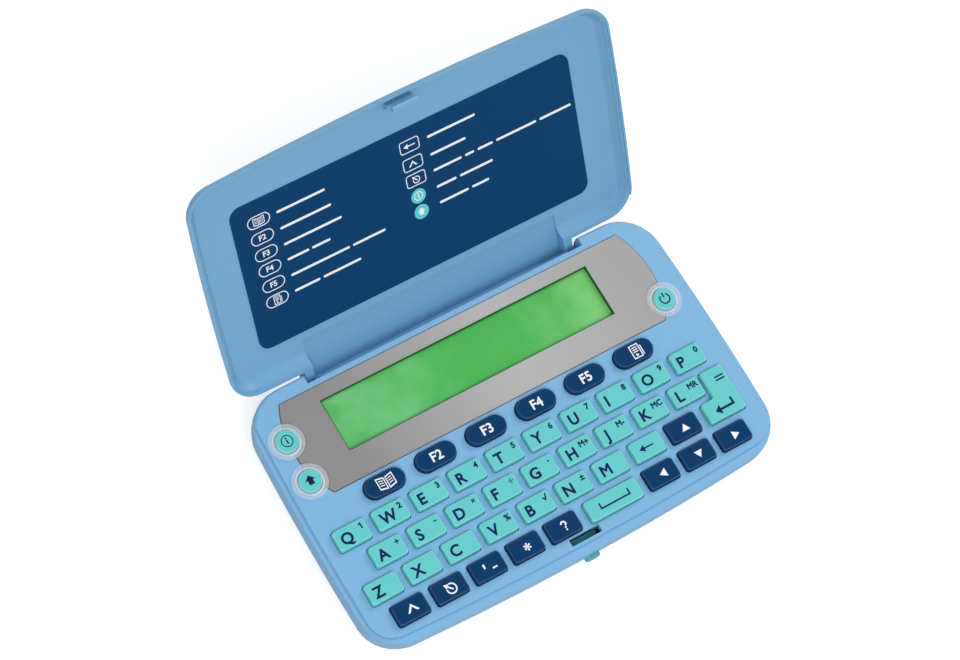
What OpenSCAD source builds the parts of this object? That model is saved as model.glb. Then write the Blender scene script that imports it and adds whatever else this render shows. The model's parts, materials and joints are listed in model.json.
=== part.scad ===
// Pocket electronic dictionary: a keyboard case with a display and a hinged lid.
// X runs along the key rows, Y from the front edge towards the hinge, Z up.
// The origin is the middle of the underside, and the lid is drawn open on its stop.

/* [Body] */
// Width of the case along the key rows
body_w = 126; // [124:0.5:130]
// Depth of the case from the front edge to the back
body_d = 76; // [76:0.5:80]
// Height of the deck that carries the keys
deck_z = 12; // [12:0.5:14]
// Radius of the case corners seen from above
corner_r = 11; // [9:0.5:13]
// How far the middle of the front edge stands ahead of its ends
front_bow = 2.2; // [1:0.1:2.6]
// How far the middle of the back edge stands behind its ends
back_bow = 0.5; // [0:0.1:1]
// How far the sides draw in towards the back corners
side_bow = 0.9; // [0:0.1:1.4]
// Thickness of the moulded walls
wall = 1.6; // [1.4:0.1:1.8]

/* [Keys] */
// Distance between neighbouring letter keys
key_pitch = 11.5; // [11.4:0.1:11.6]
// Distance between key rows
row_pitch = 7.88; // [7.8:0.02:7.9]
// Width of a letter key
key_w = 9.3; // [8.8:0.1:9.4]
// Depth of a letter key
key_d = 5.7; // [5.2:0.1:5.8]
// Width of an oval function key
oval_w = 11.6; // [10.8:0.1:12]
// Height of a key top above the deck
key_rise = 1.5; // [1.2:0.1:1.6]
// Gap between a key and the edge of its opening
key_gap = 0.25; // [0.2:0.01:0.3]
// Distance that a key travels when pressed
key_travel = 0.8; // [0.5:0.1:0.8]

/* [Display] */
// Width of the display window
window_w = 82; // [78:0.5:82]
// Height of the display window
window_d = 15.1; // [13:0.1:15.5]
// Depth of the silver bezel across its straight edges
bezel_d = 26.7; // [26.4:0.1:26.8]
// Largest width of the silver bezel
bezel_w = 110.4; // [109:0.1:110.6]

/* [Lid] */
// Angle at which the open lid rests on its stop
lid_open = 127.5; // [90:0.5:127.5]
// Height of the closed lid above its rim
lid_t = 5.5; // [5.4:0.1:6.5]
// Depth of the lid's inner floor above its rim
lid_floor = 3.4; // [3.3:0.05:3.45]
// Width of the lid's legend label
label_w = 100.7; // [90:0.1:101]
// Height of the lid's legend label
label_d = 43.5; // [36:0.1:43.5]

/* [Hinge] */
// Distance from the back edge to the hinge axis
hinge_setback = 4.1; // [4:0.1:4.2]
// Height of the hinge axis
hinge_z = 9.6; // [9.5:0.1:9.7]
// Radius of the stub pins on the lid's lugs
pin_r = 0.9; // [0.8:0.05:1]
// Radial play of a stub pin in its bore
pin_gap = 0.05; // [0.03:0.01:0.08]

/* [Hidden] */
$fn = 40;
tiny = 0.01;
past = 1;
fit = 0.1;

body_hw = body_w/2;
body_hd = body_d/2;
corner_steps = 8;
side_steps = 6;
side_peak = 0.3;

band_step = 0.6;
band_z = deck_z - band_step;
split_z = 7.2;
split_groove = 0.35;
plate_z = deck_z - wall;

hinge_y = body_hd - hinge_setback;
lid_gap = 0.25;
lid_corner_r = 7.3;
rim_w = 1.2;
lip_w = 0.6;
lip_play = 0.15;
seat_back = 30.8;
rim_z = band_z + lid_gap;
floor_z = rim_z + lid_floor;
label_t = 0.2;
label_r = 3.2;
label_y = hinge_y - 35.41;
panel_step = 0.5;
panel_front = hinge_y - 11.26;

lug_x = 38.7;
lug_w = 2.6;
lug_r = 1.5;
lug_arm = 1.1;
arm_front = 1.3;
arm_back = 2.7;
notch_x0 = 38.3;
notch_x1 = 42.4;
boss_x = 46;
barrel_r = 2.05;
deck_back = hinge_y + 1.15;
end_wall = hinge_y + 1.45;
spine_end = hinge_y + 2.6;
spine_start = panel_front - 12;
solid_back = hinge_y - 2.6;
sweep_r = 7;
sweep_front = hinge_y - 0.9;
arm_sweep = 3.6;

row_q_y = -5.2;
row_a_y = row_q_y - row_pitch;
row_z_y = row_q_y - 2*row_pitch;
row_ctrl_y = row_q_y - 3*row_pitch;
row_f_y = row_q_y + 7.93;
first_x = -53.3;
row_a_x = first_x + 6;
row_ctrl_x = first_x + 3.3;
arrow_x = 26.6;
oval_x = -38.8;
oval_pitch = 15.36;
oval_d = 5.6;
space_x = 11.55;
space_w = 16.1;
enter_right = 57.2;
enter_back = -10.4;
enter_tall_w = 6.9;
enter_wide_w = 11.3;
enter_low_d = 5.8;

key_z = deck_z + key_rise;
key_corner = 0.9;
key_bevel = 0.55;
flange_lip = 0.75;
flange_t = 0.8;
flange_z = plate_z - 0.25 - flange_t;

button_r = 3.1;
button_z = deck_z + 0.95;
collar_r = 4.9;
collar_hole = 3.35;
collar_h = 0.75;
collar_bevel = 0.45;
spigot_r = 3.9;
BUTTONS = [["button_info", -55.3, 23.9], ["button_shift", -55.3, 12.1], ["button_power", 53.9, 11.8]];

window_seat = 0.4;
window_x = -1.2;
window_y = 22.05;
bezel_y = 20.15;
bezel_arc = 26.3;
bezel_t = 0.8;
bezel_seat = 0.15;
bezel_bulge = 0.65;
bezel_proud = 0.25;

slot_x = 0.3;
slot_y = -33.4;
slot_w = 9.2;
slot_d = 2;
hook_w = 7.4;
hook_t = 0.8;
hook_tip = 9.3;
barb = 0.6;
latch_x = 0.5;
latch_z = 7.6;
latch_w = 4.4;
latch_h = 2.8;
latch_proud = 1;
latch_play = 0.3;

POSTS = [[-57.6, -28.2], [57.4, -29], [-55.3, 30.6], [55.3, 30.6], [0, 9.4]];
post_r = 2.1;
screw_r = 0.95;
bite = 0.03;
post_bore = 2.2;
case_shank = 7;
door_shank = 2.4;
head_r = 1.9;
head_seat = 1.5;
head_h = 0.9;

door_x = 31.5;
door_y = 12;
door_w = 48;
door_d = 24;
door_t = 1.4;
door_seat = 1;
door_play = 0.15;
door_screw_x = 52.6;
cell_r = 10;
cell_t = 3.2;
CELL_XS = [19.2, 40];

board_z = 5.6;
board_t = 0.9;
mat_z = board_z + board_t + 0.05;
mat_t = 0.6;
dome_z = flange_z - key_travel - 0.2;
dome_r = 2;

// Each key is its name, centre, width, depth and shape.
KEYS = concat(
    letter_row("qwertyuiop", first_x, row_q_y),
    letter_row("asdfghjkl", row_a_x, row_a_y),
    [["key_enter", enter_right - enter_tall_w/2, enter_back, key_w, key_d, "enter"]],
    letter_row("zxcvbnm", first_x, row_z_y),
    named_row(["key_back", "key_up"], first_x + 7*key_pitch, row_z_y, key_pitch, key_w, "block"),
    named_row(["key_ctrl", "key_escape", "key_apostrophe", "key_star", "key_question"],
        row_ctrl_x, row_ctrl_y, key_pitch, key_w, "block"),
    named_row(["key_space"], space_x, row_ctrl_y, 0, space_w, "block"),
    named_row(["key_left", "key_down", "key_right"], arrow_x, row_ctrl_y, key_pitch, key_w, "block"),
    named_row([for (i = [1:6]) str("key_f", i)], oval_x, row_f_y, oval_pitch, oval_w, "oval"));

NAVY = [0.06, 0.25, 0.41];
TEAL = [0.4, 0.79, 0.78];
BLUE = [0.5, 0.71, 0.86];
NAVY_KEYS = ["key_up", "key_ctrl", "key_escape", "key_apostrophe", "key_star", "key_question",
    "key_left", "key_down", "key_right", "key_f1", "key_f2", "key_f3", "key_f4", "key_f5", "key_f6"];

function letter_row(letters, x, y) =
    [for (i = [0:len(letters) - 1]) [str("key_", letters[i]), x + i*key_pitch, y, key_w, key_d, "block"]];

function named_row(names, x, y, pitch, w, shape) =
    [for (i = [0:len(names) - 1]) [names[i], x + i*pitch, y, w, shape == "oval" ? oval_d : key_d, shape]];

// A shape is its half width, front, back and corner radius before its edges are bowed.
CASE = [body_hw, -body_hd, body_hd, corner_r];
LID = [body_hw - 0.75, -body_hd + 2, body_hd - 7.6, lid_corner_r];
SEAT = [LID[0], LID[1], body_hd + 20, lid_corner_r];

// Bows the straight edges of a rounded rectangle the way the case outline is bowed.
function bow(p) =
    let (u = p.x/body_hw, v = p.y/body_hd)
    [p.x - side_bow*u*(v + side_peak)*(v + side_peak), p.y - (v < 0 ? front_bow : back_bow)*v*u*u];

function arc(c, r, a) =
    [for (i = [0:corner_steps]) c + r*[cos(a + 90*i/corner_steps), sin(a + 90*i/corner_steps)]];

function side(p, q) = [for (i = [1:side_steps - 1]) p + (q - p)*i/side_steps];

// A shape's outline seen from above, drawn in by an inset.
function outline(shape, inset) =
    let (r = max(shape[3] - inset, 1), cx = shape[0] - inset - r,
         front = shape[1] + inset + r, back = shape[2] - inset - r,
         a = arc([cx, back], r, 0), b = arc([-cx, back], r, 90),
         c = arc([-cx, front], r, 180), d = arc([cx, front], r, 270), n = corner_steps)
    [for (p = concat(a, side(a[n], b[0]), b, side(b[n], c[0]), c, side(c[n], d[0]), d, side(d[n], a[0])))
        bow(p)];

// A closed solid through outlines, each level being its inset and height, lowest first.
module loft(shape, levels) {
    rings = [for (l = levels) [for (p = outline(shape, l[0])) [p.x, p.y, l[1]]]];
    n = len(rings[0]);
    top = n*(len(levels) - 1);
    sides = [for (i = [0:len(levels) - 2]) for (j = [0:n - 1])
        let (a = i*n + j, b = i*n + (j + 1) % n) each [[a, a + n, b + n], [a, b + n, b]]];
    floor_face = [for (j = [0:n - 1]) j];
    roof_face = [for (j = [n - 1:-1:0]) top + j];
    polyhedron([for (r = rings) each r], concat(sides, [floor_face, roof_face]));
}

// A flat rectangle with round corners, drawn about its centre.
module rounded(w, d, r) {
    square([w - 2*r, d], center = true);
    square([w, d - 2*r], center = true);
    for (x = [-1, 1], y = [-1, 1]) translate([x*(w/2 - r), y*(d/2 - r)]) circle(r);
}

// A box given by its lowest and highest corners.
module box(low, high) {
    translate(low) cube(high - low);
}

// A cylinder along X about the hinge axis.
module hinge_rod(r, x0, x1) {
    translate([x0, hinge_y, hinge_z]) rotate([0, 90, 0]) cylinder(r = r, h = x1 - x0);
}

// Both ends of something that is the same on the left and the right.
module both_sides() {
    children();
    mirror([1, 0, 0]) children();
}

// The flat outline of a key, with an extra margin all round.
module key_outline(k, margin) {
    w = k[3];
    d = k[4];
    if (k[5] == "oval") {
        square([w - d, d + 2*margin], center = true);
        for (x = [-1, 1]) translate([x*(w - d)/2, 0]) circle(d/2 + margin);
    } else if (k[5] == "enter") {
        tall = enter_back - row_z_y + enter_low_d/2;
        translate([0, -tall/2]) rounded(enter_tall_w + 2*margin, tall + 2*margin, key_corner);
        translate([(enter_tall_w - enter_wide_w)/2, -tall + enter_low_d/2])
            rounded(enter_wide_w + 2*margin, enter_low_d + 2*margin, key_corner);
    } else {
        rounded(w + 2*margin, d + 2*margin, key_corner);
    }
}

// The wedge that bevels the upper edges of a w by d block standing on z0.
module bevel_roof(w, d, z0, z1) {
    far = max(w, d);
    rotate([90, 0, 0]) linear_extrude(far + 2, center = true)
        polygon([[-w/2, z0], [w/2, z0], [w/2, z1 - key_bevel], [w/2 - key_bevel, z1],
            [key_bevel - w/2, z1], [-w/2, z1 - key_bevel]]);
}

module bevelled_block(w, d, z0, z1) {
    intersection() {
        translate([0, 0, z0]) linear_extrude(z1 - z0) rounded(w, d, key_corner);
        bevel_roof(w, d, z0, z1);
        rotate([0, 0, 90]) bevel_roof(d, w, z0, z1);
    }
}

// An oval key is two bevelled discs with a bevelled bar between them.
module bevelled_oval(w, d, z0, z1) {
    for (x = [-1, 1]) translate([x*(w - d)/2, 0, z0]) {
        cylinder(r = d/2, h = z1 - z0 - key_bevel);
        translate([0, 0, z1 - z0 - key_bevel]) cylinder(r1 = d/2, r2 = d/2 - key_bevel, h = key_bevel);
    }
    intersection() {
        translate([0, 0, z0]) linear_extrude(z1 - z0) square([w - d, d], center = true);
        rotate([0, 0, 90]) bevel_roof(d, w, z0, z1);
    }
}

// One key cap: its bevelled top and the flange that holds it under the deck.
module key_cap(k) {
    navy = search([k[0]], NAVY_KEYS) != [[]];
    color(navy ? NAVY : TEAL) translate([k[1], k[2], 0]) {
        z0 = flange_z + flange_t - tiny;
        if (k[5] == "oval") {
            bevelled_oval(k[3], k[4], z0, key_z);
        } else if (k[5] == "enter") {
            tall = enter_back - row_z_y + enter_low_d/2;
            translate([0, -tall/2, 0]) bevelled_block(enter_tall_w, tall, z0, key_z);
            translate([(enter_tall_w - enter_wide_w)/2, enter_low_d/2 - tall, 0])
                bevelled_block(enter_wide_w, enter_low_d, z0, key_z);
        } else {
            bevelled_block(k[3], k[4], z0, key_z);
        }
        translate([0, 0, flange_z]) linear_extrude(flange_t) difference() {
            key_outline(k, flange_lip);
            if (k[5] == "enter")
                translate([-enter_tall_w/2 - flange_lip, row_a_y - enter_back - key_d/2 - flange_lip - 0.2])
                    square([flange_lip, 2*key_d]);
        }
    }
}

// One round button: a domed-edge disc on a flange.
module round_button(b) {
    color(TEAL) translate([b[1], b[2], flange_z]) rotate_extrude()
        polygon([[0, 0], [button_r + 0.9, 0], [button_r + 0.9, flange_t], [button_r, flange_t],
            [button_r, button_z - flange_z - 0.3], [button_r - 0.3, button_z - flange_z],
            [0, button_z - flange_z]]);
}

// The space that the lid's spine and lugs sweep through as they turn.
module lid_sweep() {
    difference() {
        intersection() {
            hinge_rod(sweep_r, -notch_x1, notch_x1);
            union() {
                box([-notch_x1, sweep_front, 0], [notch_x1, body_hd + past, hinge_z + tiny]);
                box([-notch_x1, deck_back, hinge_z], [notch_x1, body_hd + past, deck_z + past]);
            }
        }
        hinge_rod(barrel_r, -notch_x0, notch_x0);
    }
    both_sides() {
        hinge_rod(lug_r + 1.5*fit, notch_x0, notch_x1);
        intersection() {
            hinge_rod(arm_sweep, notch_x0, notch_x1);
            box([notch_x0, 0, 0], [notch_x1, body_hd, hinge_z + fit]);
        }
    }
}

// The deck inside the seat of the lid's rim, drawn in by an inset up to a height.
module seat_core(inset, top) {
    loft(SEAT, [[inset, band_z - past], [inset, top - 0.1], [inset + 0.15, top]]);
}

module window_hole(margin) {
    translate([window_x, window_y]) square([window_w + 2*margin, window_d + 2*margin], center = true);
}

// The bezel is straight above and below, with a wide arc at each end.
module bezel_outline(margin) {
    intersection() {
        translate([0, bezel_y]) square([bezel_w + 4, bezel_d + 2*margin], center = true);
        union() {
            square_w = bezel_w - 2*bezel_arc;
            translate([0, bezel_y]) square([square_w, bezel_d + 2*margin], center = true);
            for (x = [-1, 1]) translate([x*square_w/2, bezel_y + bezel_bulge])
                circle(bezel_arc + margin, $fn = 120);
        }
    }
}

// The front opening of the latch button, with a margin round the button.
module latch_outline(margin) {
    square([latch_w - latch_h, latch_h + 2*margin], center = true);
    for (x = [-1, 1]) translate([x*(latch_w - latch_h)/2, 0]) circle(latch_h/2 + margin);
}

module latch_hole() {
    translate([latch_x, -body_hd + wall + past, latch_z]) rotate([90, 0, 0])
        linear_extrude(wall + 2*past) latch_outline(latch_play);
}

module upper_case() {
    color(BLUE) difference() {
        loft(CASE, [[split_groove, split_z], [0, split_z + 0.8], [0, deck_z - 1.4], [0.15, deck_z - 0.75],
            [0.45, deck_z - 0.25], [0.9, deck_z]]);
        difference() {
            box([-body_hw - past, -body_hd - past, band_z], [body_hw + past, seat_back, deck_z + past]);
            seat_core(lip_w + lip_play, deck_z);
        }
        difference() {
            loft(CASE, [[wall + 0.4, split_z - past], [wall + 0.4, plate_z - 1], [wall + 1.4, plate_z]]);
            box([-body_hw, solid_back, 0], [body_hw, body_hd, deck_z]);
            for (p = POSTS) translate([p.x, p.y, 0]) cylinder(r = post_r, h = deck_z);
        }
        lid_sweep();
        both_sides() hinge_rod(pin_r + pin_gap, notch_x1 - 1, boss_x - 0.6);
        translate([0, 0, plate_z - past]) linear_extrude(wall + 2*past) {
            for (k = KEYS) translate([k[1], k[2]]) key_outline(k, key_gap);
            window_hole(window_seat);
            translate([slot_x, slot_y]) square([slot_w, slot_d], center = true);
        }
        for (b = BUTTONS) translate([b[1], b[2], plate_z - past])
            cylinder(r = spigot_r + fit, h = wall + 2*past);
        translate([0, 0, deck_z - bezel_t]) linear_extrude(bezel_t + past) bezel_outline(bezel_seat);
        for (p = POSTS) translate([p.x, p.y, split_z - past])
            cylinder(r = screw_r + bite, h = past + post_bore);
        latch_hole();
    }
}

module lower_case() {
    color(BLUE) difference() {
        union() {
            difference() {
                loft(CASE, [[6.5, 0], [4.2, 0.35], [2.4, 1.4], [1.1, 3], [0.5, 5],
                    [split_groove, split_z - tiny]]);
                difference() {
                    loft(CASE, [[7.5, wall], [4.2, wall + 1], [2.6, 4.4], [wall + 0.4, 6],
                        [wall + 0.4, split_z + 1]]);
                    box([-body_hw, solid_back, 0], [body_hw, body_hd, split_z + 2]);
                }
            }
            for (p = POSTS) translate([p.x, p.y, head_seat]) cylinder(r = post_r + 0.6, h = 3.6);
            for (x = CELL_XS) translate([x, door_y, tiny]) cylinder(r = cell_r + 1.4, h = 4.6);
            translate([door_x, door_y, 0.6]) linear_extrude(door_t + 0.6)
                rounded(door_w + 4, door_d + 4, 3);
            translate([door_screw_x, door_y, door_t + door_play]) cylinder(r = 2, h = 3);
        }
        lid_sweep();
        for (p = POSTS) translate([p.x, p.y, -1]) {
            cylinder(r = screw_r + 0.25, h = 9);
            cylinder(r = head_r + 0.2, h = head_seat + 1);
        }
        translate([door_x, door_y, -1]) linear_extrude(door_t + 1)
            rounded(door_w + 2*door_play, door_d + 2*door_play, 2);
        for (x = CELL_XS) translate([x, door_y, -1]) cylinder(r = cell_r + 0.3, h = 9);
        translate([door_screw_x, door_y, -1]) cylinder(r = screw_r + 0.03, h = 4.6);
        latch_hole();
    }
}

module display_bezel() {
    color([0.62, 0.62, 0.62]) difference() {
        union() {
            translate([0, 0, deck_z - bezel_t]) linear_extrude(bezel_t + bezel_proud/2) bezel_outline(0);
            translate([0, 0, deck_z]) linear_extrude(bezel_proud) bezel_outline(-bezel_proud/2);
        }
        translate([0, 0, deck_z - bezel_t - past]) linear_extrude(bezel_t + 2*past) window_hole(0);
        for (b = BUTTONS) translate([b[1], b[2], deck_z]) {
            translate([0, 0, -bezel_t - past]) cylinder(r = spigot_r + fit, h = bezel_t + 2*past);
            translate([0, 0, -tiny]) cylinder(r = collar_r + fit, h = past);
        }
    }
}

// Three clear rings that carry the round buttons, half on the bezel and half on the deck.
module button_collars() {
    color([0.66, 0.8, 0.9]) for (b = BUTTONS) translate([b[1], b[2], plate_z]) rotate_extrude()
        polygon([[collar_hole, 0], [spigot_r, 0], [spigot_r, wall], [collar_r, wall],
            [collar_r, wall + collar_h - collar_bevel], [collar_r - collar_bevel, wall + collar_h],
            [collar_hole, wall + collar_h]]);
}

module lcd_panel() {
    color([0.36, 0.73, 0.45]) {
        translate([window_x, window_y, plate_z - 1.1]) linear_extrude(1.1)
            square([window_w + 4, window_d + 3], center = true);
        translate([window_x, window_y, plate_z - 2.2]) linear_extrude(1.1)
            square([window_w + 2, window_d + 2], center = true);
    }
}

// A rubber sheet with one dome under each key and button.
module keypad_mat() {
    color([0.75, 0.75, 0.72]) {
        difference() {
            translate([0, -12.6, mat_z]) linear_extrude(mat_t) rounded(116, 36, 3);
            for (p = POSTS) translate([p.x, p.y, mat_z - 1]) cylinder(r = post_r + 0.8, h = 3);
        }
        for (k = KEYS) {
            y = k[5] == "enter" ? row_z_y : k[2];
            translate([k[1], y, mat_z + mat_t - tiny])
                cylinder(r1 = dome_r, r2 = 0.6*dome_r, h = dome_z - mat_z - mat_t);
        }
    }
}

module circuit_board() {
    color([0.16, 0.42, 0.26]) {
        translate([0, 0, board_z]) linear_extrude(board_t) difference() {
            translate([0, 0.1]) rounded(115, 61, 6);
            for (p = POSTS) translate([p.x, p.y]) circle(post_r + 1);
        }
        for (b = BUTTONS) translate([b[1], b[2], board_z + board_t])
            cylinder(r1 = dome_r, r2 = 0.6*dome_r, h = dome_z - board_z - board_t);
        translate([-24, 12, board_z - 1.5]) cylinder(r1 = 5, r2 = 6, h = 1.5);
        for (x = CELL_XS) translate([x, door_y, door_t + 0.2 + cell_t + 0.1]) cylinder(r = 3, h = 1.1);
    }
}

module battery_door() {
    color(BLUE) difference() {
        translate([door_x, door_y, 0]) linear_extrude(door_t) rounded(door_w, door_d, 1.85);
        translate([door_screw_x, door_y, -1]) cylinder(r = screw_r + 0.2, h = door_t + 2);
        translate([door_screw_x, door_y, -1]) cylinder(r = head_r + 0.2, h = door_seat + 1);
        for (i = [-2:2]) box([door_x - door_w/2 + 3 + 1.6*(i + 2), door_y - 4, -1],
            [door_x - door_w/2 + 3.7 + 1.6*(i + 2), door_y + 4, 0.3]);
    }
}

module coin_cells() {
    color([0.78, 0.78, 0.76]) for (x = CELL_XS) translate([x, door_y, door_t + 0.15]) {
        cylinder(r = cell_r, h = cell_t - 0.5);
        cylinder(r = cell_r - 1.2, h = cell_t);
    }
}

// Five case screws and the door screw, all driven from below.
module screws() {
    color([0.7, 0.7, 0.7]) {
        for (p = POSTS) translate([p.x, p.y, head_seat]) screw(case_shank);
        translate([door_screw_x, door_y, door_seat]) screw(door_shank);
    }
}

// A pan-head screw whose head ends at z = 0 and hangs below it, with a crossed drive.
module screw(shank) {
    difference() {
        union() {
            translate([0, 0, -tiny]) cylinder(r = screw_r, h = shank);
            translate([0, 0, -0.2]) cylinder(r = head_r, h = 0.2);
            translate([0, 0, -head_h]) cylinder(r1 = head_r - 0.4, r2 = head_r, h = head_h - 0.2 + tiny);
        }
        for (a = [0, 90]) rotate([0, 0, a]) translate([0, 0, -head_h])
            cube([2.2, 0.4, 0.9], center = true);
    }
}

// Turns what is drawn for the closed lid to its open stop.
module opened() {
    translate([0, hinge_y, hinge_z]) rotate([-lid_open, 0, 0]) translate([0, -hinge_y, -hinge_z])
        children();
}

// The lug reaches down behind the deck and forward to the hinge axis, where it carries a stub pin.
module lug() {
    box([lug_x, hinge_y + arm_front, hinge_z - lug_arm], [lug_x + lug_w, hinge_y + arm_back, floor_z]);
    box([lug_x, hinge_y, hinge_z - lug_arm], [lug_x + lug_w, hinge_y + arm_back, hinge_z + lug_arm]);
    hinge_rod(lug_r, lug_x, lug_x + lug_w);
    hinge_rod(pin_r, lug_x + lug_w - tiny, boss_x - 0.9);
}

// The lid's spine runs between the lugs, behind the rim, and covers the hinge when closed.
module spine(crown_z) {
    side = lug_x + lug_w;
    intersection() {
        loft([CASE[0], CASE[1], spine_end, lid_corner_r], [[0, rim_z], [0, rim_z + 2.2], [0.5, rim_z + 3.5],
            [1.8, crown_z - 0.9], [4, crown_z - 0.4], [9, crown_z - 0.1], [20, crown_z]]);
        union() {
            box([-side, spine_start, deck_z + lid_gap], [side, body_hd, crown_z + past]);
            box([-side, hinge_y + arm_front, rim_z], [side, body_hd, crown_z + past]);
        }
    }
}

// The hook that snaps into the slot, with a barb at its tip and a gusset at each end.
module hook() {
    blade_y = slot_y + slot_d/2 - 0.3 - hook_t;
    box([slot_x - hook_w/2, blade_y, hook_tip], [slot_x + hook_w/2, blade_y + hook_t, floor_z + 0.6]);
    translate([slot_x - hook_w/2, blade_y, hook_tip]) rotate([90, 0, 90]) linear_extrude(hook_w)
        polygon([[0.1, 0], [-0.2, 0], [-barb, 0.5], [-barb, 0.9], [0.1, 0.9]]);
    for (x = [-hook_w/2, hook_w/2 - 0.8]) translate([slot_x + x, blade_y + hook_t - tiny, 0])
        rotate([90, 0, 90]) linear_extrude(0.8)
            polygon([[0, deck_z + 0.6], [2.2, floor_z + 0.6], [0, floor_z + 0.6]]);
}

module lid() {
    crown_z = rim_z + lid_t;
    color(BLUE) opened() difference() {
        union() {
            difference() {
                union() {
                    loft(LID, [[0, rim_z], [0, rim_z + 1.1], [0.3, rim_z + 1.9], [1.1, rim_z + 2.9],
                        [2.4, rim_z + 3.8], [4.5, crown_z - 0.9], [9, crown_z - 0.3], [20, crown_z]]);
                    spine(crown_z);
                }
                loft(LID, [[rim_w, rim_z - past], [rim_w, rim_z + 0.6], [rim_w + 0.4, rim_z + 1.5],
                    [rim_w + 1.6, floor_z - 0.5], [rim_w + 3.3, floor_z]]);
                box([-lug_x, panel_front, rim_z - past], [lug_x, end_wall, floor_z + panel_step]);
            }
            both_sides() lug();
            hook();
        }
        intersection() {
            seat_core(lip_w, deck_z + lid_gap);
            box([-body_hw, -body_hd, 0], [body_hw, solid_back, deck_z + past]);
        }
        for (b = BUTTONS) translate([b[1], b[2], deck_z])
            cylinder(r = collar_r + 1.5*fit, h = collar_h + 2*fit);
    }
}

module lid_label() {
    color(NAVY) opened() translate([0, label_y, floor_z - label_t]) linear_extrude(label_t)
        rounded(label_w, label_d, label_r);
}

// The teal button ahead of the case, its stem, the flange that holds it in and the ledge
// under the slot.
module latch_button() {
    inner_y = -body_hd + wall + 0.4 + 0.2;
    color(TEAL) {
        translate([latch_x, inner_y, latch_z]) rotate([90, 0, 0])
            linear_extrude(body_hd + inner_y + latch_proud - 0.3) latch_outline(0);
        translate([latch_x, -body_hd - latch_proud + 0.3 + tiny, latch_z]) rotate([90, 0, 0])
            linear_extrude(0.3) latch_outline(-0.3);
        box([latch_x - 4.4, inner_y, 6.3], [latch_x + 4.4, inner_y + 0.9, 9.2]);
        box([latch_x - 4.2, inner_y + 0.8, latch_z - 0.3], [latch_x + 4.2, -32.4, latch_z + 0.5]);
    }
}

upper_case();
lower_case();
display_bezel();
button_collars();
lcd_panel();
keypad_mat();
circuit_board();
battery_door();
coin_cells();
screws();
lid();
lid_label();
latch_button();
for (b = BUTTONS) round_button(b);
for (k = KEYS) key_cap(k);
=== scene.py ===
"""The looks of a pocket electronic dictionary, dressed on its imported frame."""
import json
import math

import bmesh
import bpy
from mathutils import Matrix, Vector

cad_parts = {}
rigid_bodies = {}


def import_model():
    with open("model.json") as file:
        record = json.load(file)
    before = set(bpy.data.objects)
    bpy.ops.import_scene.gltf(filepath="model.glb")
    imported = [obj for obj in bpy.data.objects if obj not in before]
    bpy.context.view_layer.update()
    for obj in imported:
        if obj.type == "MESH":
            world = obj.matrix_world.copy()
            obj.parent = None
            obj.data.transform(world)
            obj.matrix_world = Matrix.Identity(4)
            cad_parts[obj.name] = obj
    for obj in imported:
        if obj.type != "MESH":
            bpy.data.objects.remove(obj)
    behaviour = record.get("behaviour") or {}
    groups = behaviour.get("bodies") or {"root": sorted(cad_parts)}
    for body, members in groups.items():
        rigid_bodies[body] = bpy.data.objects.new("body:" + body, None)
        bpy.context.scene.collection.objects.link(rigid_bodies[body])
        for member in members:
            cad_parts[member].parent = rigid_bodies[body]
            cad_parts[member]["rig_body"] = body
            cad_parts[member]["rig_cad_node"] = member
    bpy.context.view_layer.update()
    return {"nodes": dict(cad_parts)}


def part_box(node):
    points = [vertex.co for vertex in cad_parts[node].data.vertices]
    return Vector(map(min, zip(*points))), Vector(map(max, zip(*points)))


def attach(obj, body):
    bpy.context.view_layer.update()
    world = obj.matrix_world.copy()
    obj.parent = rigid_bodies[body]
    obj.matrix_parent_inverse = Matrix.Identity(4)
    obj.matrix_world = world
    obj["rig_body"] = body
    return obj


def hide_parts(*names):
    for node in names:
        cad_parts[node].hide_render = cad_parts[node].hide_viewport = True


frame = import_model()

MM = 0.001
NODES = frame["nodes"]
KEY_LETTERS = "qwertyuiopasdfghjklzxcvbnm"

# The lid's hinge axis, and how steeply the open lid rises behind it.
HINGE = Vector((0, 33.9, 9.6)) * MM
LID_SLOPE = math.radians(52.5)

# The view: where the camera aims, how far off it stands in metres, its angles, and its focal
# length in millimetres.
AIM = Vector((5.2, 27.1, 12)) * MM
DISTANCE = 0.8308
ELEVATION = math.radians(65.83)
HEADING = math.radians(-148.45)
ROLL = math.radians(29.08)
LENS = 120.05

# Key caps, in millimetres: what the foot grows and the top shrinks on each side, the rounding of
# the rim, the radius of the corners, the flange's width and thickness, and the height above it.
FOOT_GROWTH = 0.12
TOP_DRAFT = 0.2
KEY_RIM = 0.4
KEY_CORNER = 0.9
FLANGE_LIP = 0.62
FLANGE_THICK = 0.8
KEY_RISE = 3.35

# Prints, in millimetres: half a mark's thickness, how far its middle lies above the face, and how
# tall a capital of the built-in font is at size 1.
INK = 0.01
PRINT_LIFT = 0.006
CAPITAL_HEIGHT = 0.682

# The display window's middle and the height of the panel under it, in millimetres.
WINDOW_MIDDLE = (-1.2, 22.05)
PANEL_TOP = 10.4

# Corners closer than this, in metres, are merged.
WELD = 0.000002


def srgb(red, green, blue):
    """A colour as it looks on a screen, from 0 to 255, as a shader's linear values."""
    linear = []
    for value in (red / 255, green / 255, blue / 255):
        linear.append(value / 12.92 if value <= 0.04045 else ((value + 0.055) / 1.055) ** 2.4)
    return (*linear, 1)


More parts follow.
